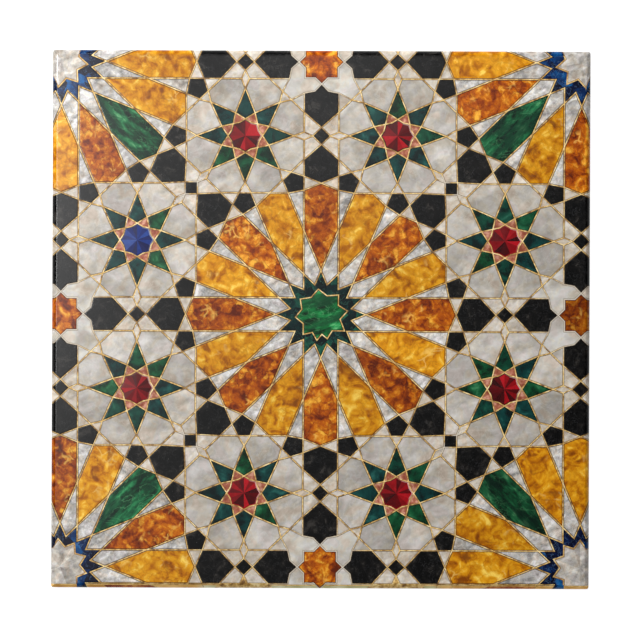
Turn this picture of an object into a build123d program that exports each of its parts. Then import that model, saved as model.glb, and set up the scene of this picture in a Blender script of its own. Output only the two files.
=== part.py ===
from build123d import *
import cmath
import math
import os

os.makedirs("parts", exist_ok=True)

# Tile body, all sizes in millimetres
tile_side = 152.4
tile_thickness = 6.5
corner_radius = 0.9
edge_roll = 2.0

# Key ribs on the back
key_depth = 0.6
key_channel_width = 9.0
key_pitch = 12.0
key_margin = 7.0

# Outlines that stand up between the sunk fields, finer among the black and white ones
line_width = 0.3
fine_line_width = 0.2
relief_depth = 0.15
smallest_field = 0.35

# Layout of the star pattern
star_spacing = 71.5
pattern_widening = 1.03
pattern_shift_up = 1.4
petal_half_width = 4.75
diamond_half = 2.4

# Eight-point rosettes
dart_tip_radius = 13.4
dart_notch_radius = 7.0
dart_base_radius = 4.75
gem_notch_radius = 4.1
link_joint = 1.05
plain_joint = 1.7

# Small eight-point stars halfway along the edges
khatem_tip = 6.25
khatem_notch = 4.55
shield_neck = (8.25, 1.85)
shield_shoulder = 8.85

# Nine-point star in the middle, tips given as angle and radius
middle_star_tips = [
    (7.6, 7.65),
    (48.0, 7.47),
    (95.9, 7.25),
    (143.3, 7.28),
    (186.0, 7.25),
    (228.5, 7.53),
    (261.4, 7.39),
    (285.1, 7.08),
    (325.6, 8.18),
]
middle_star_notch = 5.6

# Stars in the corners: side in x and in y, points, angle of a tip, tip and notch radius
corner_stars = [
    (-1, 1, 8, -7.0, 7.5, 5.1),
    (1, 1, 8, 190.0, 7.4, 4.8),
    (-1, -1, 10, 21.5, 7.8, 5.7),
    (1, -1, 10, 90.0, 7.9, 5.8),
]


def at(radius, degrees):
    return cmath.rect(radius, math.radians(degrees))


# Lengths that follow from the layout
half_step = star_spacing * (1 - math.sqrt(0.5))
long_step = star_spacing * math.sqrt(0.5)
rosette_apothem = half_step - petal_half_width
rosette_corner = rosette_apothem / math.cos(math.radians(22.5))
petal_tip = math.hypot(half_step, long_step) - rosette_corner
shoulder_drop = petal_half_width * math.tan(math.radians(22.5))
joint_reach = rosette_apothem * math.sqrt(2) - half_step
ring_inner = petal_half_width / math.cos(math.radians(56.25))
ring_tip = petal_half_width / math.cos(math.radians(67.5))
petal_widest = petal_half_width / math.cos(math.radians(78.75))
diagonal_foot = at(rosette_apothem, 45)
shoulder = complex(petal_tip - shoulder_drop, petal_half_width)
corner = complex(petal_tip + shoulder_drop, petal_half_width)
petal_end = complex(petal_tip, 0)

# One sixteenth of a large star, twice over: an even and an odd petal
even_joint = at(math.hypot(half_step, long_step), 22.5) - diagonal_foot + at(plain_joint, -45)
odd_joint = even_joint.conjugate() * at(1, 22.5)
next_shoulder = shoulder.conjugate() * at(1, 22.5)
next_corner = corner.conjugate() * at(1, 22.5)
outer_point = complex(
    petal_tip * math.cos(math.radians(22.5)) * math.sqrt(2) - petal_half_width,
    petal_half_width,
)
petal = [
    at(ring_tip, 0),
    at(petal_widest, -11.25),
    shoulder.conjugate(),
    petal_end,
    shoulder,
    at(petal_widest, 11.25),
]
kite = [at(ring_inner, 11.25), at(ring_tip, 0), at(petal_widest, 11.25), at(ring_tip, 22.5)]
spandrel = [at(petal_widest, 11.25), shoulder, next_shoulder]
star_band = [at(r, a + 22.5 * k) for k in range(16) for r, a in ((ring_tip, 0), (ring_inner, 11.25))]
beside_tip = [petal_end, shoulder, corner]
beside_corner = [corner, outer_point, even_joint]
star_cells = []
star_border = []
for petal_number in range(16):
    turn = at(1, 22.5 * petal_number)
    joint = odd_joint if petal_number % 2 else even_joint
    block = [shoulder, corner, joint, next_corner, next_shoulder]
    border = [block, beside_tip, [p.conjugate() for p in beside_tip]]
    if petal_number % 2 == 0:
        border += [beside_corner, [p.conjugate() for p in beside_corner]]
    star_cells += [[p * turn for p in cell] for cell in (petal, kite, spandrel)]
    star_border += [[p * turn for p in cell] for cell in border]

# One small star with its links along and across
khatem_quarter = [
    complex(khatem_tip, 0),
    complex(khatem_notch, khatem_tip - khatem_notch),
    complex(khatem_notch, khatem_notch),
    complex(khatem_tip - khatem_notch, khatem_notch),
]
khatem_outline = [p * at(1, 90 * k) for k in range(4) for p in khatem_quarter]
khatem_foot = complex(half_step, half_step) - diagonal_foot
foot_low = khatem_foot + at(plain_joint, -45)
foot_high = khatem_foot + at(plain_joint, 135)
link_start = half_step - petal_half_width - joint_reach
surround = khatem_quarter + [
    complex(0, khatem_tip),
    complex(shield_neck[1], shield_neck[0]),
    complex(petal_half_width, shield_shoulder),
    foot_high,
    foot_low,
    complex(shield_shoulder, petal_half_width),
    complex(shield_neck[0], shield_neck[1]),
]
khatem_ground = []
for quarter in range(4):
    cells = [
        surround,
        [complex(shield_shoulder, petal_half_width), complex(link_start, petal_half_width), foot_low],
        [complex(petal_half_width, shield_shoulder), complex(petal_half_width, link_start), foot_high],
    ]
    khatem_ground += [[p * at(1, 90 * quarter) for p in cell] for cell in cells]

# One link: a small diamond, four white corners and a black bar each way
link_corner = petal_half_width + joint_reach
bar_end = long_step - petal_tip
bar = [
    complex(diamond_half, 0),
    complex(link_corner, petal_half_width),
    complex(bar_end - shoulder_drop, petal_half_width),
    complex(bar_end, 0),
    complex(bar_end - shoulder_drop, -petal_half_width),
    complex(link_corner, -petal_half_width),
]
shield = [
    complex(-diamond_half, 0),
    complex(-link_corner, petal_half_width),
    complex(shield_shoulder - half_step, petal_half_width),
    complex(shield_neck[0] - half_step, shield_neck[1]),
    complex(khatem_tip - half_step, 0),
    complex(shield_neck[0] - half_step, -shield_neck[1]),
    complex(shield_shoulder - half_step, -petal_half_width),
    complex(-link_corner, -petal_half_width),
]
link_cells = [[complex(diamond_half, 0), 1j * diamond_half, complex(-diamond_half, 0), -1j * diamond_half]]
for across in (1, -1):
    for along in (1, -1):
        link_cells.append([
            complex(diamond_half * along, 0),
            complex(link_corner * along, petal_half_width * across),
            complex(link_joint * along, petal_half_width * across),
            complex(0, diamond_half * across),
        ])
star_link_cells = link_cells + [bar, [-p for p in bar]]
khatem_link_cells = link_cells + [bar, shield]

# Where each group stands, counted from the middle of the pattern
grid_corners = [complex(x, y) * star_spacing for x in (1, -1) for y in (1, -1)]
rosette_places = [
    complex(x, y)
    for a, b in ((half_step, long_step), (long_step, half_step))
    for x in (a, -a)
    for y in (b, -b)
]
khatem_places = [star_spacing * at(1, 90 * k) for k in range(4)]
star_places = [0] + grid_corners
outlined = [[centre + p for p in cell] for centre in star_places for cell in star_cells]
outlined += [[centre + p for p in khatem_outline] for centre in khatem_places]
plain = [[centre + p for p in cell] for centre in star_places for cell in star_border]
plain += [[centre + p for p in cell] for centre in khatem_places for cell in khatem_ground]
for quarter in range(4):
    turn = at(1, 90 * quarter)
    middle = complex(star_spacing / 2, star_spacing / 2) * turn
    plain += [[long_step * turn - p * turn for p in cell] for cell in khatem_link_cells]
    plain += [[middle - p * turn * at(1, 45) for p in cell] for cell in star_link_cells]
    for side in (1, -1):
        edge_place = complex(star_spacing, side * half_step) * turn
        plain += [[edge_place + p * turn * 1j * side for p in cell] for cell in khatem_link_cells]

# One rosette: its joints are narrower where a link joins on
for centre in rosette_places:
    joints = []
    for k in range(8):
        neighbour = centre + 2 * half_step * at(1, 45 * k)
        linked = any(abs(neighbour - other) < 1 for other in rosette_places)
        beyond = max(abs(neighbour.real), abs(neighbour.imag)) > star_spacing and k % 2 == 0
        joints.append(link_joint if linked or beyond else plain_joint)
    gem = [at(dart_base_radius if j % 2 == 0 else gem_notch_radius, 22.5 * j) for j in range(16)]
    outlined.append([centre + p for p in gem])
    for k in range(8):
        cells = [
            [
                at(dart_base_radius, 0),
                at(gem_notch_radius, 22.5),
                at(dart_base_radius, 45),
                at(dart_notch_radius, 22.5),
            ],
            [
                complex(dart_tip_radius, 0),
                at(dart_notch_radius, 22.5),
                complex(dart_base_radius, 0),
                at(dart_notch_radius, -22.5),
            ],
            [
                at(dart_notch_radius, 22.5),
                complex(dart_tip_radius, 0),
                complex(rosette_apothem, joints[k]),
                at(rosette_corner, 22.5),
                complex(rosette_apothem, -joints[(k + 1) % 8]) * at(1, 45),
                at(dart_tip_radius, 45),
            ],
        ]
        if joints[k] == link_joint:
            cells.append([
                complex(dart_tip_radius, 0),
                complex(rosette_apothem, link_joint),
                complex(half_step - diamond_half, 0),
                complex(rosette_apothem, -link_joint),
            ])
        else:
            cells.append([
                complex(dart_tip_radius, 0),
                complex(rosette_apothem, plain_joint),
                complex(rosette_apothem, -plain_joint),
            ])
        outlined += [[centre + p * at(1, 45 * k) for p in cell] for cell in cells]


def area(cell):
    return sum((a.conjugate() * b).imag for a, b in zip(cell, cell[1:] + cell[:1])) / 2


def tidy(cell):
    kept = [p for i, p in enumerate(cell) if abs(p - cell[i - 1]) > 0.02]
    return kept if len(kept) > 2 else []


def on_tile(cell):
    return all(min((p * side).real for p in cell) < tile_side / 2 for side in (1, 1j, -1, -1j))


def inset(cell, gap):
    # Move every side inwards so that half an outline is left round the cell
    shrunk = []
    count = len(cell)
    for i in range(count):
        before = cell[i] - cell[i - 1]
        after = cell[(i + 1) % count] - cell[i]
        before = before / abs(before)
        after = after / abs(after)
        cross = (before.conjugate() * after).imag
        if abs(cross) < 0.02:
            shrunk.append(cell[i] + gap * after * 1j)
        else:
            shrunk.append(cell[i] + gap * (after - before) / cross)
    return shrunk


def keeps_its_sides(old, new):
    sides = zip(old, old[1:] + old[:1], new, new[1:] + new[:1])
    return all(((b - a).conjugate() * (d - c)).real > 0 for a, b, c, d in sides)


def laid_out(point):
    return complex(point.real * pattern_widening, point.imag + pattern_shift_up)


# Place the cells on the face and shrink them to the sunk fields
fields = []
for cells, outline in ((outlined, line_width), (plain, fine_line_width)):
    for cell in cells:
        cell = tidy([laid_out(p) for p in cell])
        if not on_tile(cell):
            continue
        if area(cell) < 0:
            cell = cell[::-1]
        field = inset(cell, outline / 2)
        if keeps_its_sides(cell, field) and area(field) > smallest_field:
            fields.append(field)

# The stars inside the dark bands, each with the centre of its group
middle_star = []
for i, (angle, radius) in enumerate(middle_star_tips):
    next_angle = middle_star_tips[(i + 1) % len(middle_star_tips)][0]
    next_angle += 360 if next_angle < angle else 0
    middle_star += [at(radius, angle), at(middle_star_notch, (angle + next_angle) / 2)]
inner_stars = [(0, middle_star)]
for side_x, side_y, count, first, tip, notch in corner_stars:
    star = []
    for k in range(count):
        star += [at(tip, first + 360 / count * k), at(notch, first + 360 / count * (k + 0.5))]
    inner_stars.append((complex(side_x, side_y) * star_spacing, star))


def points(cell):
    return [(p.real, p.imag) for p in cell]


with BuildPart() as tile:
    with BuildSketch(Plane.XY):
        Rectangle(tile_side, tile_side)
    extrude(amount=tile_thickness)
    fillet(tile.faces().sort_by(Axis.Z)[-1].edges(), radius=edge_roll)
    fillet(tile.edges().filter_by(Axis.Z), radius=corner_radius)

    # Channels of the key back
    channel_length = tile_side - 2 * key_margin
    channel_count = int((channel_length - key_channel_width) / key_pitch) + 1
    with BuildSketch(Plane.XY):
        with GridLocations(key_pitch, 0, channel_count, 1):
            Rectangle(key_channel_width, channel_length)
    extrude(amount=key_depth, mode=Mode.SUBTRACT)

    # Star pattern
    with BuildSketch(Plane.XY.offset(tile_thickness)):
        add([Face(Wire.make_polygon(points(field))) for field in fields])
    extrude(amount=-relief_depth, mode=Mode.SUBTRACT)
    with BuildSketch(Plane.XY.offset(tile_thickness)):
        for centre, star in inner_stars:
            band = [laid_out(centre + p) for p in star_band]
            outline = [laid_out(centre) + p for p in star]
            add(Face(Wire.make_polygon(points(inset(band, line_width / 2)))))
            add(Face(Wire.make_polygon(points(inset(outline, -line_width / 2)))), mode=Mode.SUBTRACT)
            add(Face(Wire.make_polygon(points(inset(outline, line_width / 2)))))
    extrude(amount=-relief_depth, mode=Mode.SUBTRACT)

tile.part.label = "tile"
export_step(tile.part, "parts/tile.step")
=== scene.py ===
import cmath
import math
import random
import bpy
from mathutils import Matrix


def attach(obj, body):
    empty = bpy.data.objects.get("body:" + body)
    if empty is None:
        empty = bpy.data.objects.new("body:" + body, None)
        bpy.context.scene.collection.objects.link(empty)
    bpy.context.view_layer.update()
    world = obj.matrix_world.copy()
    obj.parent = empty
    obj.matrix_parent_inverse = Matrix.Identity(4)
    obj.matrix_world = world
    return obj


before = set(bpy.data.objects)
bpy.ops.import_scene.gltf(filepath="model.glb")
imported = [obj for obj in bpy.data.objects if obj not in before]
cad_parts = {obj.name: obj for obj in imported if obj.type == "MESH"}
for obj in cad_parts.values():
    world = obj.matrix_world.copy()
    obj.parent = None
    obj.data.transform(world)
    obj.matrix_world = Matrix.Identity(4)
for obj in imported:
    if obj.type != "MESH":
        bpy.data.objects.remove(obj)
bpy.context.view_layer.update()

mm = 0.001

# The fired body: one pressed ceramic square with rolled top edges and a keyed back.
# The thin outlines of the pattern stand up from its face and carry a gold lustre,
# paler round the edge stars; the bare biscuit shows on the sides and the back.
body_top = 6.5
body_half = 76.2
roll = 2.0
body_corner = 0.9
star_spacing = 71.5
pattern_widening = 1.03
pattern_shift_up = 1.4
biscuit_light = (222, 214, 200)
biscuit_dark = (196, 186, 170)
biscuit_warm = (206, 192, 172)
lustre_tones = [
    (0.36, (114, 78, 32)), (0.46, (184, 142, 70)), (0.54, (220, 182, 108)), (0.64, (244, 221, 165))]
pale_joint = (206, 200, 188)
pale_places = [(star_spacing, 0, 13.5), (0, star_spacing, 13.5), (33.9, 37.8, 1.9), (37.8, 33.9, 1.9)]
glaze_foot = 5.1


def linear(rgb):
    # Colours are written as the eye sees them, 0 to 255
    out = []
    for value in rgb:
        value = value / 255
        out.append(value / 12.92 if value <= 0.04045 else ((value + 0.055) / 1.055) ** 2.4)
    return (out[0], out[1], out[2], 1)


def new_glaze(name):
    paint = bpy.data.materials.new(name)
    paint.use_nodes = True
    paint.node_tree.nodes.clear()
    out = paint.node_tree.nodes.new("ShaderNodeOutputMaterial")
    shader = paint.node_tree.nodes.new("ShaderNodeBsdfPrincipled")
    paint.node_tree.links.new(shader.outputs["BSDF"], out.inputs["Surface"])
    return paint, shader


def node(paint, kind, **settings):
    made = paint.node_tree.nodes.new(kind)
    for key, value in settings.items():
        setattr(made, key, value)
    return made


def link(paint, source, target):
    paint.node_tree.links.new(source, target)


def ramp(paint, factor, stops):
    made = node(paint, "ShaderNodeValToRGB")
    line = made.color_ramp
    while len(line.elements) < len(stops):
        line.elements.new(0.5)
    for element, (place, tone) in zip(line.elements, stops):
        element.position = place
        element.color = linear(tone) if isinstance(tone, tuple) else (tone, tone, tone, 1)
    link(paint, factor, made.inputs["Fac"])
    return made.outputs["Color"]


def mixed(paint, factor, first, second, blend="MIX"):
    made = node(paint, "ShaderNodeMix", data_type="RGBA", blend_type=blend)
    for place, value in ((0, factor), (6, first), (7, second)):
        if isinstance(value, (float, int)):
            made.inputs[place].default_value = value
        elif isinstance(value, tuple):
            made.inputs[place].default_value = linear(value)
        else:
            link(paint, value, made.inputs[place])
    return made.outputs[2]


def sums(paint, kind, first, second):
    made = node(paint, "ShaderNodeMath", operation=kind)
    for place, value in ((0, first), (1, second)):
        if isinstance(value, (float, int)):
            made.inputs[place].default_value = value
        else:
            link(paint, value, made.inputs[place])
    return made.outputs[0]


def mark(paint, name):
    # A value that each field or corner of the mesh carries
    return node(paint, "ShaderNodeAttribute", attribute_name=name).outputs["Fac"]


def folded_place(paint):
    # Where a point lies from the middle of the pattern, the same in all four quarters
    where = node(paint, "ShaderNodeTexCoord")
    shifted = node(paint, "ShaderNodeVectorMath", operation="SUBTRACT")
    shifted.inputs[1].default_value = (0, pattern_shift_up * mm, 0)
    link(paint, where.outputs["Object"], shifted.inputs[0])
    folded = node(paint, "ShaderNodeVectorMath", operation="ABSOLUTE")
    link(paint, shifted.outputs[0], folded.inputs[0])
    return folded.outputs[0]


def clouds(
        paint, size, detail=4.0, rough=0.55, twist=0.0, stretch=(1, 1, 1), turn=0.0, own=True, folded=False):
    # Cloudy grain; size is that of one cloud in millimetres, own gives each field its own
    placed = node(paint, "ShaderNodeMapping", vector_type="TEXTURE")
    placed.inputs["Scale"].default_value = stretch
    placed.inputs["Rotation"].default_value = (0, 0, math.radians(turn))
    if folded:
        link(paint, folded_place(paint), placed.inputs["Vector"])
    else:
        where = node(paint, "ShaderNodeTexCoord")
        link(paint, where.outputs["Object"], placed.inputs["Vector"])
    made = node(paint, "ShaderNodeTexNoise", noise_dimensions="4D")
    made.inputs["Scale"].default_value = 1 / (size * mm)
    made.inputs["Detail"].default_value = detail
    made.inputs["Roughness"].default_value = rough
    made.inputs["Distortion"].default_value = twist
    link(paint, placed.outputs["Vector"], made.inputs["Vector"])
    if own:
        link(paint, mark(paint, "grain"), made.inputs["W"])
    return made.outputs["Fac"]


def raised(paint, shader, height, distance, strength=1.0):
    made = node(paint, "ShaderNodeBump")
    made.inputs["Distance"].default_value = distance * mm
    made.inputs["Strength"].default_value = strength
    link(paint, height, made.inputs["Height"])
    link(paint, made.outputs["Normal"], shader.inputs["Normal"])


body_paint, shader = new_glaze("fired_body")
where = node(body_paint, "ShaderNodeTexCoord")
apart = node(body_paint, "ShaderNodeSeparateXYZ")
link(body_paint, where.outputs["Object"], apart.inputs["Vector"])
speckle = clouds(body_paint, 0.6, 6, 0.7, own=False)
mottle = clouds(body_paint, 9, 3, 0.5, own=False)
biscuit = ramp(body_paint, speckle, [(0.36, biscuit_dark), (0.55, biscuit_light)])
biscuit = mixed(body_paint, mottle, biscuit, biscuit_warm)
lustre = ramp(body_paint, clouds(body_paint, 1.4, 4, 0.6, own=False), lustre_tones)
for across, up, reach in pale_places:
    gap_to = node(body_paint, "ShaderNodeVectorMath", operation="DISTANCE")
    link(body_paint, folded_place(body_paint), gap_to.inputs[0])
    gap_to.inputs[1].default_value = (across * pattern_widening * mm, up * mm, body_top * mm)
    share = sums(body_paint, "DIVIDE", gap_to.outputs["Value"], reach * mm)
    pale = ramp(body_paint, share, [(0.62, 0.85), (1.0, 0.0)])
    lustre = mixed(body_paint, pale, lustre, pale_joint)
height = sums(body_paint, "SUBTRACT", apart.outputs["Z"], glaze_foot * mm)
on_face = ramp(body_paint, sums(body_paint, "MULTIPLY", height, 1 / (0.2 * mm)), [(0.0, 0.0), (1.0, 1.0)])
link(body_paint, mixed(body_paint, on_face, biscuit, lustre), shader.inputs["Base Color"])
link(body_paint, ramp(body_paint, on_face, [(0, 0.75), (1, 0.55)]), shader.inputs["Roughness"])
link(body_paint, sums(body_paint, "MULTIPLY", on_face, 0.1), shader.inputs["Metallic"])
raised(body_paint, shader, speckle, 0.08, 0.5)
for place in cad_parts["tile"].material_slots:
    place.material = body_paint

# The large stars: each has sixteen long petals of amber-coloured glaze round a dark
# star, every petal one sunk field, painted darker at its rim: a brown hairline and painted shade beside the
# raised outline.
# The middle star is whole; those at the corners are cut by the tile's edges.
petal_half_width = 4.75
plain_joint = 1.7
link_joint = 1.05
outline_width = 0.3
fine_outline = 0.2
rim_width = 0.34
field_bed = 6.37
rise = 0.012
worn_over = 1.6
skin = 0.012
roll_bed = 6.33
under_outline = 0.03
roll_cuts = (0.0, 0.5, 0.8, 0.95, 1.2, 1.5, 1.7, 1.85, 1.95, 1.985)
corner_cuts = (22.5, 45, 67.5)
corner_skin = 0.01
cut_apart = 0.000001
foot_line_low = 0.82
foot_line_high = 1.12
amber_tones = [
    (0.38, (92, 28, 0)), (0.44, (138, 54, 0)), (0.5, (174, 82, 2)), (0.55, (200, 112, 10)),
    (0.63, (238, 174, 56))]
honey_tones = [
    (0.35, (126, 62, 0)), (0.43, (178, 104, 0)), (0.5, (208, 138, 10)), (0.57, (224, 160, 28)),
    (0.66, (248, 208, 90))]


def at(radius, degrees):
    return cmath.rect(radius, math.radians(degrees))


half_step = star_spacing * (1 - math.sqrt(0.5))
long_step = star_spacing * math.sqrt(0.5)
rosette_apothem = half_step - petal_half_width
rosette_corner = rosette_apothem / math.cos(math.radians(22.5))
petal_tip = math.hypot(half_step, long_step) - rosette_corner
shoulder_drop = petal_half_width * math.tan(math.radians(22.5))
joint_reach = rosette_apothem * math.sqrt(2) - half_step
ring_inner = petal_half_width / math.cos(math.radians(56.25))
ring_tip = petal_half_width / math.cos(math.radians(67.5))
petal_widest = petal_half_width / math.cos(math.radians(78.75))
diagonal_foot = at(rosette_apothem, 45)
corner_places = [complex(x, y) * star_spacing for x in (1, -1) for y in (1, -1)]
star_places = [0j] + corner_places


def cut_field(name, outline):
    # One flat field with as many corners as its outline
    bpy.ops.object.select_all(action="DESELECT")
    bpy.ops.mesh.primitive_circle_add(vertices=len(outline), radius=mm, fill_type="NGON", location=(0, 0, 0))
    field = bpy.context.object
    field.name = name
    for vertex, corner in zip(field.data.vertices, outline):
        vertex.co = (corner.real * mm, corner.imag * mm, 0)
    return field


def lay_copies(pattern, places, widening=pattern_widening):
    # A copy for each place, given as its centre and its turn in degrees
    laid = []
    for centre, turn in places:
        copy = pattern.copy()
        copy.data = pattern.data.copy()
        bpy.context.collection.objects.link(copy)
        copy.data.transform(Matrix.Rotation(math.radians(turn), 4, "Z"))
        copy.data.transform(Matrix.Translation((centre.real * mm, centre.imag * mm, 0)))
        copy.data.transform(Matrix.Diagonal((widening, 1, 1, 1)))
        copy.data.transform(Matrix.Translation((0, pattern_shift_up * mm, 0)))
        limit = (body_half - outline_width) * mm
        xs = [vertex.co.x for vertex in copy.data.vertices]
        ys = [vertex.co.y for vertex in copy.data.vertices]
        if min(xs) > limit or max(xs) < -limit or min(ys) > limit or max(ys) < -limit:
            bpy.data.objects.remove(copy)
        else:
            laid.append(copy)
    bpy.data.objects.remove(pattern)
    return laid


def fire(name, fields, paint, seed, line=outline_width, rim=rim_width, bed=field_bed, peak=0.0, foot=None):
    # Join like fields, give each its own grain and tone, draw their rims in, raise
    # a peak in the middle of cut gems, trim all to the tile, part them at the line
    # along its foot and lay them down over the rolled edges. Line is the width of the
    # outline round a field, bed the height that the field lies at.
    bpy.ops.object.select_all(action="DESELECT")
    for field in fields:
        field.select_set(True)
    bpy.context.view_layer.objects.active = fields[0]
    if len(fields) > 1:
        bpy.ops.object.join()
    piece = bpy.context.object
    piece.name = name
    mesh = piece.data
    mesh.name = name
    chance = random.Random(seed)
    mesh.attributes.new("grain", "FLOAT", "FACE")
    mesh.attributes.new("tone", "FLOAT", "FACE")
    mesh.attributes.new("rim", "FLOAT", "POINT")
    mesh.attributes.new("worn", "FLOAT", "POINT")
    for face in mesh.polygons:
        mesh.attributes["grain"].data[face.index].value = chance.uniform(0, 60)
        mesh.attributes["tone"].data[face.index].value = chance.uniform(-1, 1)
        face.select = face.normal.z < 0
    bpy.ops.object.mode_set(mode="EDIT")
    bpy.ops.mesh.select_mode(type="FACE")
    bpy.ops.mesh.flip_normals()
    bpy.ops.mesh.select_all(action="SELECT")
    bpy.ops.mesh.inset(thickness=(line / 2 - under_outline) * mm, use_individual=True, use_even_offset=True)
    bpy.ops.mesh.select_all(action="INVERT")
    bpy.ops.mesh.delete(type="FACE")
    bpy.ops.mesh.select_all(action="SELECT")
    bpy.ops.mesh.inset(thickness=rim * mm, use_individual=True, use_even_offset=True)
    if peak:
        bpy.ops.mesh.poke(offset=peak * mm)
    bpy.ops.object.mode_set(mode="OBJECT")
    inside = {number for face in mesh.polygons if face.select for number in face.vertices}
    for number in inside:
        mesh.attributes["rim"].data[number].value = 1.0
        mesh.vertices[number].co.z += rise * mm
    # Each facet of a peaked field gets its own random tone; the gem and corner-star glazes paint it as
    # lighter and darker facets: painted light and shade
    for face in mesh.polygons:
        if peak and face.select:
            mesh.attributes["tone"].data[face.index].value = chance.uniform(-1, 1)
    bpy.ops.object.mode_set(mode="EDIT")
    for run in roll_cuts:
        reach = (body_half - roll + run) * mm
        for side in ((1, 0, 0), (-1, 0, 0), (0, 1, 0), (0, -1, 0)):
            bpy.ops.mesh.select_all(action="SELECT")
            place = tuple(reach * part for part in side)
            bpy.ops.mesh.bisect(
                plane_co=place, plane_no=side, clear_outer=(run == roll_cuts[-1]), threshold=cut_apart)
    for turn in range(4):
        for lean in corner_cuts:
            normal = at(1, 90 * turn + lean)
            middle = (body_half - body_corner) * complex(1, 1) * at(1, 90 * turn)
            middle += at(body_corner - corner_skin, 90 * turn + lean)
            bpy.ops.mesh.select_all(action="SELECT")
            bpy.ops.mesh.bisect(
                plane_co=(middle.real * mm, middle.imag * mm, 0),
                plane_no=(normal.real, normal.imag, 0),
                clear_outer=True,
                threshold=cut_apart)
    if foot:
        for place in (foot_line_low, foot_line_high):
            bpy.ops.mesh.select_all(action="SELECT")
            bpy.ops.mesh.bisect(
                plane_co=(0, (place - body_half) * mm, 0), plane_no=(0, -1, 0), threshold=cut_apart)
    bpy.ops.mesh.select_all(action="DESELECT")
    bpy.ops.object.mode_set(mode="OBJECT")
    mesh.materials.clear()
    mesh.materials.append(paint)
    if foot:
        mesh.materials.append(foot)
        mesh.materials.append(foot_line)
        for face in mesh.polygons:
            from_foot = face.center.y / mm + body_half
            face.material_index = 1 if from_foot < foot_line_low else 2 if from_foot < foot_line_high else 0
    for vertex in mesh.vertices:
        run = max(abs(vertex.co.x), abs(vertex.co.y)) / mm - (body_half - roll)
        run = min(max(run, 0), roll)
        mesh.attributes["worn"].data[vertex.index].value = min(run / worn_over, 1)
        on_roll = body_top - roll + math.sqrt(max(roll * roll - run * run, 0))
        vertex.co.z = min(bed * mm + vertex.co.z, (on_roll + bed - roll_bed) * mm, (body_top - skin) * mm)
    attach(piece, "root")
    return piece


def glassy(paint, shader):
    # The clear glassy surface that the whole face was fired with, worn off the rolled edge
    shader.inputs["Roughness"].default_value = 0.5
    shader.inputs["Specular IOR Level"].default_value = 0.0
    shader.inputs["Coat Roughness"].default_value = 0.205
    link(paint, ramp(paint, mark(paint, "worn"), [(0.0, 1.0), (1.0, 0.4)]), shader.inputs["Coat Weight"])


def with_hairline_and_shade(paint, colour, hairline_and_shade, start=0.5, end=0.9, depth=0.95):
    # The glaze is painted darker in the last third of a millimetre beside an outline: a brown hairline
    # there, and painted shade at the foot of the raised outline
    inside = ramp(paint, mark(paint, "rim"), [(start, 1 - depth), (end, 1.0)])
    return mixed(paint, inside, hairline_and_shade, colour)


def toned(paint, colour, amount):
    # Lighter and darker fields, by each field's own tone
    made = node(paint, "ShaderNodeHueSaturation")
    value = sums(paint, "MULTIPLY_ADD", mark(paint, "tone"), amount)
    value.node.inputs[2].default_value = 1.0
    link(paint, value, made.inputs["Value"])
    link(paint, colour, made.inputs["Color"])
    return made.outputs["Color"]


def flakes(paint, size, bend, border):
    # Crooked flakes as in cracked amber: the grey of each, and a line of this width round it
    where = node(paint, "ShaderNodeTexCoord")
    bent = node(paint, "ShaderNodeTexNoise")
    bent.inputs["Scale"].default_value = 1 / (size * mm)
    bent.inputs["Detail"].default_value = 4
    link(paint, where.outputs["Object"], bent.inputs["Vector"])
    moved = node(paint, "ShaderNodeVectorMath", operation="MULTIPLY_ADD")
    link(paint, bent.outputs["Color"], moved.inputs[0])
    moved.inputs[1].default_value = (bend * mm, bend * mm, 0)
    link(paint, where.outputs["Object"], moved.inputs[2])
    found = []
    for feature, output in (("F1", "Color"), ("DISTANCE_TO_EDGE", "Distance")):
        cells = node(paint, "ShaderNodeTexVoronoi", voronoi_dimensions="4D", feature=feature)
        cells.inputs["Scale"].default_value = 1 / (size * mm)
        link(paint, moved.outputs[0], cells.inputs["Vector"])
        link(paint, mark(paint, "grain"), cells.inputs["W"])
        found.append(cells.outputs[output])
    return found[0], ramp(paint, found[1], [(0.0, 1.0), (border / size, 0.0)])


def amber_glaze(name, tones, hairline_and_shade, painted_glint, scorch, busy, vary=0.09):
    # Flames of the glaze's own tones, flaked and cracked in some places, smooth in others, with pale glints
    # painted along the cracks in some patches
    paint, shader = new_glaze(name)
    broad = clouds(paint, 4.6, 3, 0.5, 1.4)
    grain = clouds(paint, 1.4, 6, 0.7, 0.8)
    grey, border = flakes(paint, 2.2, 3.4, 0.3)
    patches = ramp(paint, clouds(paint, 5.0, 2, 0.5, 0.5), [(0.42, busy * 0.45), (0.58, busy)])
    both = mixed(paint, sums(paint, "MULTIPLY", patches, 0.62), broad, grain)
    both = mixed(paint, sums(paint, "MULTIPLY", patches, 0.22), both, grey)
    colour = ramp(paint, both, tones)
    cracks = sums(paint, "MULTIPLY", border, sums(paint, "MULTIPLY", patches, 0.45))
    colour = mixed(paint, cracks, colour, scorch)
    # Pale glints painted along crack lines in some patches: painted highlight
    bright = ramp(paint, clouds(paint, 5.4, 2, 0.5, 0.6), [(0.58, 0.0), (0.66, busy * 0.65)])
    shine = flakes(paint, 3.2, 3.4, 0.3)[1]
    colour = mixed(paint, sums(paint, "MULTIPLY", shine, bright), colour, painted_glint)
    blots = ramp(paint, clouds(paint, 4.6, 4, 0.6, 0.9), [(0.33, 0.7), (0.42, 0.0)])
    colour = mixed(paint, blots, colour, scorch)
    colour = toned(paint, colour, vary)
    link(paint, with_hairline_and_shade(paint, colour, hairline_and_shade), shader.inputs["Base Color"])
    glassy(paint, shader)
    raised(paint, shader, both, 0.1, 0.5)
    return paint


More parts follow.
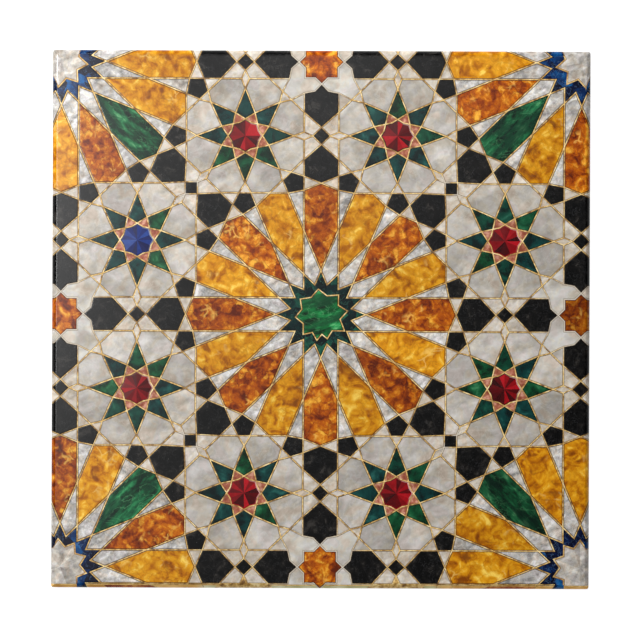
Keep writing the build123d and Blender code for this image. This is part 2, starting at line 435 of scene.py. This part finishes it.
foot_line, shader = new_glaze("foot_line")
flow = clouds(foot_line, 1.4, 4, 0.6, own=False)
golden = ramp(foot_line, flow, [(0.38, (196, 144, 66)), (0.6, (250, 214, 140))])
link(foot_line, golden, shader.inputs["Base Color"])
shader.inputs["Roughness"].default_value = 0.5
foot_brown, shader = new_glaze("foot_brown")
flow = clouds(foot_brown, 3.0, 4, 0.6)
colour = ramp(foot_brown, flow, [(0.38, (120, 44, 8)), (0.5, (156, 72, 16)), (0.62, (206, 138, 62))])
link(foot_brown, colour, shader.inputs["Base Color"])
glassy(foot_brown, shader)
# Dark brown at the amber petals' rims: a hairline and painted shade beside the outline
amber_hairline_and_shade = (70, 26, 6)
# Pale colour painted along the amber's cracks as glints: painted highlight
amber_painted_glint = (250, 196, 92)
amber_scorch = (84, 28, 6)
amber = amber_glaze("amber_glaze", amber_tones, amber_hairline_and_shade, amber_painted_glint, amber_scorch, 1.0)
# Honey's pale crack colour is also a painted glint
honey = amber_glaze("honey_glaze", honey_tones, (86, 44, 10), (248, 220, 130), (124, 70, 12), 0.6)
petal_outline = [
    at(ring_tip, 0), at(petal_widest, -11.25), complex(petal_tip - shoulder_drop, -petal_half_width),
    complex(petal_tip, 0), complex(petal_tip - shoulder_drop, petal_half_width), at(petal_widest, 11.25)]
corner_amber = {(1, 1): (9, 12), (1, -1): (), (-1, 1): (13,), (-1, -1): (4, 1)}
amber_places = [(0j, 45 * k) for k in range(8)]
honey_places = [(0j, 45 * k + 22.5) for k in range(8)]
green_places = []
for centre in corner_places:
    quarter = (int(math.copysign(1, centre.real)), int(math.copysign(1, centre.imag)))
    inward = math.degrees(cmath.phase(-centre)) % 360
    for k in range(16):
        if abs(22.5 * k - inward) < 1:
            green_places.append((centre, 22.5 * k))
        elif k in corner_amber[quarter]:
            amber_places.append((centre, 22.5 * k))
        else:
            honey_places.append((centre, 22.5 * k))
fire("amber_petals", lay_copies(cut_field("petal", petal_outline), amber_places), amber, 3, foot=foot_brown)
fire("honey_petals", lay_copies(cut_field("petal", petal_outline), honey_places), honey, 4, foot=foot_brown)

# The green petals point from each corner to the middle: a malachite-like glaze,
# veined along its length and darker on one side.
green_tones = [
    (0.4, (2, 30, 18)), (0.47, (8, 56, 32)), (0.53, (18, 88, 52)), (0.59, (40, 122, 74)),
    (0.66, (104, 170, 116))]
moss_tones = [
    (0.4, (0, 40, 18)), (0.47, (4, 80, 38)), (0.53, (14, 112, 54)), (0.59, (40, 148, 80)),
    (0.66, (112, 184, 122))]


def veins(paint, size, width, strength, **how):
    # Thin wandering lines, where a cloudy grain passes through its middle value
    return ramp(paint, clouds(paint, size, **how), [(0.5 - width, 0.0), (0.5, strength), (0.5 + width, 0.0)])


def malachite_glaze(name, tones, shade_tone, folded, turn):
    paint, shader = new_glaze(name)
    drawn = clouds(paint, 3.0, 4, 0.55, 0.6, stretch=(2.4, 0.8, 1), turn=turn, folded=folded)
    fine = clouds(paint, 1.1, 4, 0.65, 0.4, stretch=(2.2, 0.8, 1), turn=turn, folded=folded)
    both = mixed(paint, 0.3, drawn, fine)
    colour = ramp(paint, both, tones)
    streaks = veins(
        paint, 4.4, 0.014, 0.35, detail=4, rough=0.6, twist=0.5, stretch=(1.6, 0.9, 1), turn=turn - 25,
        folded=folded)
    colour = mixed(paint, streaks, colour, (96, 164, 112))
    shade = ramp(paint, clouds(paint, 6.0, 3, 0.5, 0.4, stretch=(3.4, 0.8, 1), turn=turn, folded=folded), [
        (0.46, 0.75), (0.52, 0.0)])
    colour = mixed(paint, shade, colour, shade_tone)
    colour = toned(paint, colour, 0.5)
    link(paint, with_hairline_and_shade(paint, colour, (24, 30, 14)), shader.inputs["Base Color"])
    glassy(paint, shader)
    raised(paint, shader, both, 0.08, 0.5)
    return paint


malachite = malachite_glaze("malachite_glaze", green_tones, (2, 38, 26), True, 45)
fire("green_petals", lay_copies(cut_field("petal", petal_outline), green_places), malachite, 2263)

# Pearly fields: the kites and slivers between the petals in a streaked grey-white
# glaze, and the six-sided petals of the rosettes in a calmer one of the same kind.
sliver_tones = [
    (0.38, (134, 131, 127)), (0.46, (169, 165, 160)), (0.53, (196, 192, 187)), (0.62, (235, 233, 230))]
petal_tones = [
    (0.37, (154, 148, 139)), (0.47, (173, 167, 158)), (0.54, (187, 181, 173)), (0.65, (208, 203, 196))]
play_tints = [
    (0.38, (255, 240, 228)), (0.47, (254, 252, 244)), (0.55, (244, 247, 253)), (0.64, (253, 246, 250))]


def pearl_glaze(name, tones, size, busy, flecks, hairline_and_shade, vary):
    paint, shader = new_glaze(name)
    drift = clouds(paint, size, 4, 0.5, 0.9, stretch=(1.4, 0.9, 1), turn=30)
    fine = clouds(paint, size * 0.4, 5, 0.65, 0.5)
    both = mixed(paint, busy, drift, fine)
    colour = ramp(paint, both, tones)
    streaks = veins(paint, size * 1.2, 0.02, flecks, detail=5, rough=0.62, twist=0.8)
    colour = mixed(paint, streaks, colour, (246, 244, 240))
    tint = ramp(paint, clouds(paint, size * 0.7, 2, 0.5, 0.8), play_tints)
    colour = mixed(paint, 0.7, colour, tint, "MULTIPLY")
    colour = toned(paint, colour, vary)
    link(paint, with_hairline_and_shade(paint, colour, hairline_and_shade, depth=0.85), shader.inputs["Base Color"])
    glassy(paint, shader)
    raised(paint, shader, both, 0.1, 0.4)
    return paint


foot_gold, shader = new_glaze("foot_gold")
flow = clouds(foot_gold, 5.0, 2, 0.5, own=False)
golden = ramp(foot_gold, flow, [(0.36, (204, 144, 62)), (0.5, (224, 168, 84)), (0.66, (240, 192, 114))])
greenish = ramp(foot_gold, flow, [(0.36, (186, 178, 118)), (0.5, (210, 202, 148)), (0.66, (230, 226, 188))])
apart = node(foot_gold, "ShaderNodeSeparateXYZ")
link(foot_gold, folded_place(foot_gold), apart.inputs["Vector"])
across = sums(foot_gold, "DIVIDE", apart.outputs["X"], body_half * mm)
outwards = ramp(foot_gold, across, [(0.42, 0.0), (0.46, 1.0)])
link(foot_gold, mixed(foot_gold, outwards, greenish, golden), shader.inputs["Base Color"])
glassy(foot_gold, shader)
moonstone = pearl_glaze("moonstone_glaze", sliver_tones, 2.8, 0.35, 0.4, (62, 44, 26), 0.1)
pearl = pearl_glaze("pearl_glaze", petal_tones, 5.5, 0.32, 0.12, (116, 98, 70), 0.13)
kite_outline = [at(ring_inner, 11.25), at(ring_tip, 0), at(petal_widest, 11.25), at(ring_tip, 22.5)]
shoulder = complex(petal_tip - shoulder_drop, petal_half_width)
corner = complex(petal_tip + shoulder_drop, petal_half_width)
next_shoulder = shoulder.conjugate() * at(1, 22.5)
next_corner = corner.conjugate() * at(1, 22.5)
spandrel_outline = [at(petal_widest, 11.25), shoulder, next_shoulder]
all_turns = [(centre, 22.5 * k) for centre in star_places for k in range(16)]
even_turns = [(centre, 45 * k) for centre in star_places for k in range(8)]
odd_turns = [(centre, 45 * k + 22.5) for centre in star_places for k in range(8)]
slivers = lay_copies(cut_field("kite", kite_outline), all_turns)
slivers += lay_copies(cut_field("spandrel", spandrel_outline), all_turns)
fire("pearl_slivers", slivers, moonstone, 11, foot=foot_gold)

rosette_places = [
    complex(x, y)
    for a, b in ((half_step, long_step), (long_step, half_step))
    for x in (a, -a)
    for y in (b, -b)]
dart_tip = 13.4
dart_notch = 7.0
gem_tip = 4.75
gem_notch = 4.1
diamond_half = 2.4
pearl_petals = []
slits = []
for centre in rosette_places:
    joints = []
    for k in range(8):
        neighbour = centre + 2 * half_step * at(1, 45 * k)
        linked = any(abs(neighbour - other) < 1 for other in rosette_places)
        beyond = max(abs(neighbour.real), abs(neighbour.imag)) > star_spacing and k % 2 == 0
        joints.append(link_joint if linked or beyond else plain_joint)
    for k in range(8):
        outline = [
            at(dart_notch, 22.5), complex(dart_tip, 0), complex(rosette_apothem, joints[k]),
            at(rosette_corner, 22.5), complex(rosette_apothem, -joints[(k + 1) % 8]) * at(1, 45),
            at(dart_tip, 45)]
        pearl_petals += lay_copies(cut_field("pearl_petal", outline), [(centre, 45 * k)])
        outline = [
            complex(dart_tip, 0), complex(rosette_apothem, -joints[k]), complex(rosette_apothem, joints[k])]
        if joints[k] == link_joint:
            outline.insert(2, complex(half_step - diamond_half, 0))
        slits += lay_copies(cut_field("slit", outline), [(centre, 45 * k)])
fire("pearl_petals", pearl_petals, pearl, 12, foot=foot_gold)

# Small whitish fields: slits at the darts' tips, triangles beside the petals' tips,
# corners round the little diamonds and the plain ground round the edge stars.
white_tones = [
    (0.36, (168, 157, 142)), (0.46, (192, 182, 168)), (0.55, (209, 201, 189)), (0.66, (228, 222, 213))]
plain_tones = [(0.36, (170, 163, 152)), (0.5, (196, 191, 182)), (0.64, (216, 213, 206))]
khatem_tip = 6.25
khatem_notch = 4.55
neck_far = 8.25
neck_near = 1.85
shield_shoulder = 8.85
cream = pearl_glaze("cream_glaze", white_tones, 2.6, 0.35, 0.15, (122, 98, 66), 0.06)
plain_white = pearl_glaze("plain_white_glaze", plain_tones, 5.0, 0.25, 0.1, (150, 138, 120), 0.04)
even_joint = at(math.hypot(half_step, long_step), 22.5) - diagonal_foot + at(plain_joint, -45)
odd_joint = even_joint.conjugate() * at(1, 22.5)
petal_end = complex(petal_tip, 0)
outer_reach = petal_tip * math.cos(math.radians(22.5)) * math.sqrt(2) - petal_half_width
outer_point = complex(outer_reach, petal_half_width)
link_corner = petal_half_width + joint_reach
link_start = half_step - petal_half_width - joint_reach
bar_end = long_step - petal_tip
edge_places = [star_spacing * at(1, 90 * k) for k in range(4)]
bar_links = []
shield_links = []
for k in range(4):
    turn = at(1, 90 * k)
    shield_links.append((long_step * turn, 90 * k + 180))
    bar_links.append((complex(star_spacing / 2, star_spacing / 2) * turn, 90 * k + 225))
    for side in (1, -1):
        shield_links.append((complex(star_spacing, side * half_step) * turn, 90 * k + 90 * side))
whites = lay_copies(cut_field("beside_tip", [petal_end, corner, shoulder]), all_turns)
whites += lay_copies(
    cut_field("beside_tip", [petal_end, shoulder.conjugate(), corner.conjugate()]), all_turns)
whites += lay_copies(cut_field("beside_corner", [corner, outer_point, even_joint]), even_turns)
beside_corner = [corner.conjugate(), even_joint.conjugate(), outer_point.conjugate()]
whites += lay_copies(cut_field("beside_corner", beside_corner), even_turns)
for across in (1, -1):
    for along in (1, -1):
        outline = [
            complex(diamond_half * along, 0),
            complex(link_corner * along, petal_half_width * across),
            complex(link_joint * along, petal_half_width * across),
            complex(0, diamond_half * across)]
        whites += lay_copies(cut_field("link_corner", outline), bar_links + shield_links)
khatem_foot = complex(half_step, half_step) - diagonal_foot
foot_low = khatem_foot + at(plain_joint, -45)
foot_high = khatem_foot + at(plain_joint, 135)
ground = [
    complex(khatem_tip, 0), complex(khatem_notch, khatem_tip - khatem_notch),
    complex(khatem_notch, khatem_notch), complex(khatem_tip - khatem_notch, khatem_notch),
    complex(0, khatem_tip), complex(neck_near, neck_far),
    complex(petal_half_width, shield_shoulder), foot_high, foot_low,
    complex(shield_shoulder, petal_half_width), complex(neck_far, neck_near)]
edge_turns = [(place, 90 * k) for place in edge_places for k in range(4)]
grounds = lay_copies(cut_field("ground", ground), edge_turns)
ground_side = [complex(shield_shoulder, petal_half_width), complex(link_start, petal_half_width), foot_low]
grounds += lay_copies(cut_field("ground_side", ground_side), edge_turns)
ground_side = [complex(petal_half_width, shield_shoulder), foot_high, complex(petal_half_width, link_start)]
grounds += lay_copies(cut_field("ground_side", ground_side), edge_turns)
fire("white_fields", whites, cream, 13, line=fine_outline, rim=0.3, foot=foot_gold)
fire("edge_grounds", grounds, plain_white, 16, line=fine_outline, rim=0.3, foot=foot_gold)
fire("white_slits", slits, cream, 14, rim=0.12, foot=foot_gold)

# Black fields: the bars and shields of the links, the small diamonds between them
# and the five-sided blocks at the petals' ends, in a glossy black with faint specks.
black_tones = [(0.44, (0, 0, 0)), (0.52, (7, 6, 6)), (0.59, (22, 20, 18)), (0.67, (50, 47, 44))]
black, shader = new_glaze("black_glaze")
haze = clouds(black, 3.0, 5, 0.62, 0.8)
specks = clouds(black, 0.45, 3, 0.6)
scratches = veins(black, 3.6, 0.006, 0.35, detail=4, rough=0.65, twist=0.9)
colour = ramp(black, haze, black_tones)
colour = mixed(black, ramp(black, specks, [(0.66, 0.0), (0.78, 0.5)]), colour, (120, 118, 114))
colour = mixed(black, scratches, colour, (84, 84, 86))
link(black, with_hairline_and_shade(black, colour, (62, 48, 32), depth=0.8), shader.inputs["Base Color"])
glassy(black, shader)
raised(black, shader, haze, 0.05, 0.4)
blacks = []
for joint, turns in ((even_joint, even_turns), (odd_joint, odd_turns)):
    block = [shoulder, next_shoulder, next_corner, joint, corner]
    blacks += lay_copies(cut_field("block", block), turns)
bar = [
    complex(diamond_half, 0), complex(link_corner, -petal_half_width),
    complex(bar_end - shoulder_drop, -petal_half_width), complex(bar_end, 0),
    complex(bar_end - shoulder_drop, petal_half_width), complex(link_corner, petal_half_width)]
shield = [
    complex(-diamond_half, 0), complex(-link_corner, petal_half_width),
    complex(shield_shoulder - half_step, petal_half_width), complex(neck_far - half_step, neck_near),
    complex(khatem_tip - half_step, 0), complex(neck_far - half_step, -neck_near),
    complex(shield_shoulder - half_step, -petal_half_width), complex(-link_corner, -petal_half_width)]
diamond = [at(diamond_half, 90 * k) for k in range(4)]
blacks += lay_copies(cut_field("diamond", diamond), bar_links + shield_links)
blacks += lay_copies(cut_field("bar", bar), bar_links + shield_links)
blacks += lay_copies(cut_field("bar", [-p for p in bar]), bar_links)
blacks += lay_copies(cut_field("shield", shield), shield_links)
fire("black_fields", blacks, black, 15, line=fine_outline, foot=foot_gold)

# The eight darts of each rosette, from teal to leaf green.
dart_green, shader = new_glaze("dart_glaze")
drawn = clouds(dart_green, 3.2, 4, 0.55, 0.5)
leaf_tones = [(0.38, (0, 28, 12)), (0.5, (2, 64, 34)), (0.6, (16, 84, 48)), (0.72, (60, 128, 84))]
teal_tones = [(0.38, (0, 20, 20)), (0.5, (0, 46, 44)), (0.6, (8, 60, 56)), (0.74, (36, 96, 88))]
leaf = ramp(dart_green, drawn, leaf_tones)
teal = ramp(dart_green, drawn, teal_tones)
hue = ramp(dart_green, sums(dart_green, "MULTIPLY", mark(dart_green, "tone"), 1.0), [(0.0, 0.0), (0.6, 1.0)])
colour = mixed(dart_green, hue, teal, leaf)
link(dart_green, with_hairline_and_shade(dart_green, colour, (16, 26, 14)), shader.inputs["Base Color"])
glassy(dart_green, shader)
raised(dart_green, shader, drawn, 0.08, 0.5)
rosette_turns = [(centre, 45 * k) for centre in rosette_places for k in range(8)]
dart = [complex(dart_tip, 0), at(dart_notch, 22.5), complex(gem_tip, 0), at(dart_notch, -22.5)]
fire("rosette_darts", lay_copies(cut_field("dart", dart), rosette_turns), dart_green, 21)

# Between the darts and the gem, eight small salmon-coloured kites.
salmon, shader = new_glaze("salmon_glaze")
flow = clouds(salmon, 1.6, 4, 0.6)
colour = ramp(salmon, flow, [(0.38, (134, 68, 50)), (0.5, (166, 98, 74)), (0.62, (206, 150, 128))])
colour = toned(salmon, colour, 0.12)
link(salmon, with_hairline_and_shade(salmon, colour, (124, 74, 40), depth=0.7), shader.inputs["Base Color"])
glassy(salmon, shader)
raised(salmon, shader, flow, 0.05, 0.4)
kite_in = [complex(gem_tip, 0), at(dart_notch, 22.5), at(gem_tip, 45), at(gem_notch, 22.5)]
fire("salmon_kites", lay_copies(cut_field("salmon_kite", kite_in), rosette_turns), salmon, 22, rim=0.16)

# The gems in the middle of the rosettes: raised in facets, ruby red but for one blue,
# with pale glints painted on the side of the rim taken to face the light, up and to the right.
gem_outline = [at(gem_tip if j % 2 == 0 else gem_notch, 22.5 * j) for j in range(16)]
blue_place = complex(-long_step, half_step)
gem_bed = 6.36
gem_peak = 0.05
ruby_tones = [(0.15, (48, 0, 2)), (0.45, (92, 0, 6)), (0.7, (138, 4, 14)), (0.95, (190, 22, 34))]
sapphire_tones = [(0.15, (4, 12, 66)), (0.45, (6, 26, 92)), (0.7, (16, 46, 120)), (0.95, (50, 84, 158))]


def gem_glaze(name, tones, painted_glint):
    paint, shader = new_glaze(name)
    # Each facet's tone sets how bright its colour is: painted light and shade on the facets
    level = sums(paint, "MULTIPLY_ADD", mark(paint, "tone"), 0.5)
    level.node.inputs[2].default_value = 0.5
    flow = clouds(paint, 1.6, 4, 0.6, 0.6)
    colour = ramp(paint, mixed(paint, 0.3, level, flow), tones)
    # Pale glint colour painted on the marked rim faces: painted highlight
    colour = mixed(paint, mark(paint, "painted_glint"), colour, painted_glint)
    link(paint, colour, shader.inputs["Base Color"])
    glassy(paint, shader)
    raised(paint, shader, flow, 0.05, 0.3)
    return paint


def paint_glints(piece, places, bright):
    # Mark the rim's faces that look up and to the right from the middle of their gem, for the painted glint
    mesh = piece.data
    painted_glints = mesh.attributes.new("painted_glint", "FLOAT", "FACE")
    middles = [complex(place.real * pattern_widening, place.imag + pattern_shift_up) for place in places]
    for face in mesh.polygons:
        here = complex(face.center.x, face.center.y) / mm
        arm = min((here - middle for middle in middles), key=abs)
        if abs(arm) > gem_notch - outline_width / 2 - rim_width:
            facing = math.cos(cmath.phase(arm) - math.radians(20))
            painted_glints.data[face.index].value = bright * max(facing, 0) ** 3


ruby = gem_glaze("ruby_glaze", ruby_tones, (240, 196, 190))
sapphire = gem_glaze("sapphire_glaze", sapphire_tones, (200, 206, 230))
red_places = [place for place in rosette_places if abs(place - blue_place) > 1]
red_gems = lay_copies(cut_field("gem", gem_outline), [(place, 0) for place in red_places])
blue_gem = lay_copies(cut_field("gem", gem_outline), [(blue_place, 0)])
ruby_piece = fire("ruby_gems", red_gems, ruby, 31, peak=gem_peak, bed=gem_bed)
sapphire_piece = fire("sapphire_gem", blue_gem, sapphire, 32, peak=gem_peak, bed=gem_bed)
paint_glints(ruby_piece, red_places, 0.6)
paint_glints(sapphire_piece, [blue_place], 0.4)

# The dark sixteen-point bands: deep green round the middle star, blue at the corners,
# where each band shifts from royal blue to navy from one point to the next.
band_outline = [at(r, a + 22.5 * k) for k in range(16) for r, a in ((ring_tip, 0), (ring_inner, 11.25))]
band_bed = 6.36


def band_glaze(name, tones, hairline_and_shade, shine):
    paint, shader = new_glaze(name)
    flow = mixed(paint, 0.4, clouds(paint, 4.2, 2, 0.5, 0.4), clouds(paint, 1.6, 4, 0.6, 0.8))
    flow = mixed(paint, 0.34, flow, flakes(paint, 3.4, 0.8, 0.2)[0])
    colour = ramp(paint, flow, tones)
    streaks = veins(paint, 3.0, 0.012, 0.3, detail=4, rough=0.6, twist=0.8)
    colour = mixed(paint, streaks, colour, shine)
    link(paint, with_hairline_and_shade(paint, colour, hairline_and_shade), shader.inputs["Base Color"])
    glassy(paint, shader)
    raised(paint, shader, flow, 0.08, 0.5)
    return paint


deep_tones = [(0.43, (0, 16, 18)), (0.5, (0, 32, 32)), (0.58, (6, 54, 46)), (0.68, (26, 98, 72))]
lapis_tones = [(0.44, (0, 4, 30)), (0.5, (0, 16, 56)), (0.57, (2, 48, 98)), (0.66, (18, 92, 152))]
deep_green = band_glaze("deep_green_glaze", deep_tones, (12, 22, 16), (80, 140, 120))
lapis = band_glaze("lapis_glaze", lapis_tones, (12, 16, 30), (120, 158, 200))
middle_band = lay_copies(cut_field("band", band_outline), [(0j, 0)])
fire("middle_band", middle_band, deep_green, 41, bed=band_bed)
corner_bands = lay_copies(cut_field("band", band_outline), [(place, 0) for place in corner_places])
fire("corner_bands", corner_bands, lapis, 42, bed=band_bed)

# The small eight-point stars that the edges cut in half, in amber.
khatem_quarter = [
    complex(khatem_tip, 0), complex(khatem_notch, khatem_tip - khatem_notch),
    complex(khatem_notch, khatem_notch), complex(khatem_tip - khatem_notch, khatem_notch)]
khatem_outline = [p * at(1, 90 * k) for k in range(4) for p in khatem_quarter]
star_amber = amber_glaze(
    "star_amber_glaze", amber_tones, amber_hairline_and_shade, amber_painted_glint, amber_scorch, 1.0, vary=0.4)
edge_stars = lay_copies(cut_field("edge_star", khatem_outline), [(place, 0) for place in edge_places])
fire("edge_stars", edge_stars, star_amber, 3017)

# The green nine-point star in the middle, drawn by hand and a little uneven.
nine_tips = [
    (7.6, 7.65), (48.0, 7.47), (95.9, 7.25), (143.3, 7.28), (186.0, 7.25),
    (228.5, 7.53), (261.4, 7.39), (285.1, 7.08), (325.6, 8.18)]
nine_notch = 5.6
star_bed = 6.4
nine_point = []
for i, (angle, radius) in enumerate(nine_tips):
    following = nine_tips[(i + 1) % len(nine_tips)][0]
    following += 360 if following < angle else 0
    nine_point += [at(radius, angle), at(nine_notch, (angle + following) / 2)]
moss = malachite_glaze("moss_glaze", moss_tones, (10, 62, 36), False, 20)
middle_star = lay_copies(cut_field("middle_star", nine_point), [(0j, 0)], widening=1)
fire("middle_star", middle_star, moss, 61, bed=star_bed)

# The pearly stars in the corners, cut in facets that meet at their middles, each facet painted lighter or
# darker by its own tone as light and shade.
corner_stars = [
    (-1, 1, 8, -7.0, 7.5, 5.1),
    (1, 1, 8, 190.0, 7.4, 4.8),
    (-1, -1, 10, 21.5, 7.8, 5.7),
    (1, -1, 10, 90.0, 7.9, 5.8)]
star_peak = 0.03
foot_strip = 1.2
star_tones = [(0.38, (142, 137, 130)), (0.5, (184, 178, 170)), (0.62, (222, 218, 211))]
stars = []
for side_x, side_y, count, first, tip, notch in corner_stars:
    outline = []
    centre = complex(side_x * pattern_widening, side_y) * star_spacing
    for k in range(count):
        # A notch that would open at the tile's foot is closed there by the star's own glaze
        lowest = (centre + at(notch, first + 360 / count * (k + 0.5))).imag + pattern_shift_up
        reach = tip if lowest < foot_strip - body_half else notch
        outline += [at(tip, first + 360 / count * k), at(reach, first + 360 / count * (k + 0.5))]
    stars += lay_copies(cut_field("corner_star", outline), [(centre, 0)], widening=1)
star_pearl = pearl_glaze("star_pearl_glaze", star_tones, 3.0, 0.35, 0.2, (140, 104, 60), 0.24)
fire("corner_stars", stars, star_pearl, 71, bed=star_bed, peak=star_peak, foot=foot_gold)

# A plain pale floor and soft studio light, strongest from the upper left.
bpy.ops.object.select_all(action="DESELECT")
bpy.ops.mesh.primitive_plane_add(size=6, location=(0, 0, 0))
floor = bpy.context.object
floor.name = "floor"
floor_paint, shader = new_glaze("floor_paint")
shader.inputs["Base Color"].default_value = (0.2, 0.2, 0.2, 1)
shader.inputs["Roughness"].default_value = 0.9
shader.inputs["Emission Color"].default_value = (1, 1, 1, 1)
shader.inputs["Emission Strength"].default_value = 0.98
floor.data.materials.append(floor_paint)
world = bpy.data.worlds.new("studio")
world.use_nodes = True
world.node_tree.nodes["Background"].inputs["Color"].default_value = (1, 1, 1, 1)
world.node_tree.nodes["Background"].inputs["Strength"].default_value = 0.02
bpy.context.scene.world = world
for name, place, size, power in (
        ("key_light", (-0.34, 0.08, 0.97), 0.15, 6.0),
        ("top_light", (0.01, 0.14, 1.19), 0.08, 0.08),
        ("side_light", (-0.2, 0.36, 0.3), 0.25, 2.3),
        ("right_light", (0.8, -0.5, 0.5), 0.6, 0.6)):
    lamp = bpy.data.lights.new(name, "AREA")
    lamp.shape = "SQUARE"
    lamp.size = size
    lamp.energy = power
    stand = bpy.data.objects.new(name, lamp)
    bpy.context.collection.objects.link(stand)
    stand.location = place
    stand.rotation_euler = (-stand.location).to_track_quat("-Z", "Y").to_euler()

# The camera looks straight down, as the photograph does. Places in the picture are
# in pixels, and the heights in metres.
camera_height = 1.2
picture_width = 644
tile_in_picture = 538.4
tile_off_left = 1.2
tile_off_up = 2.5
camera_turn = 0.22
frame_width = 2 * body_half * mm * picture_width / tile_in_picture
pixel = frame_width / picture_width
lens = bpy.data.cameras.new("camera")
lens.sensor_width = 36
lens.lens = 36 * (camera_height - body_top * mm) / frame_width
camera = bpy.data.objects.new("camera", lens)
bpy.context.collection.objects.link(camera)
camera.location = (tile_off_left * pixel, -tile_off_up * pixel, camera_height)
camera.rotation_euler = (0, 0, math.radians(camera_turn))
bpy.context.scene.camera = camera
bpy.context.scene.view_settings.view_transform = "Standard"
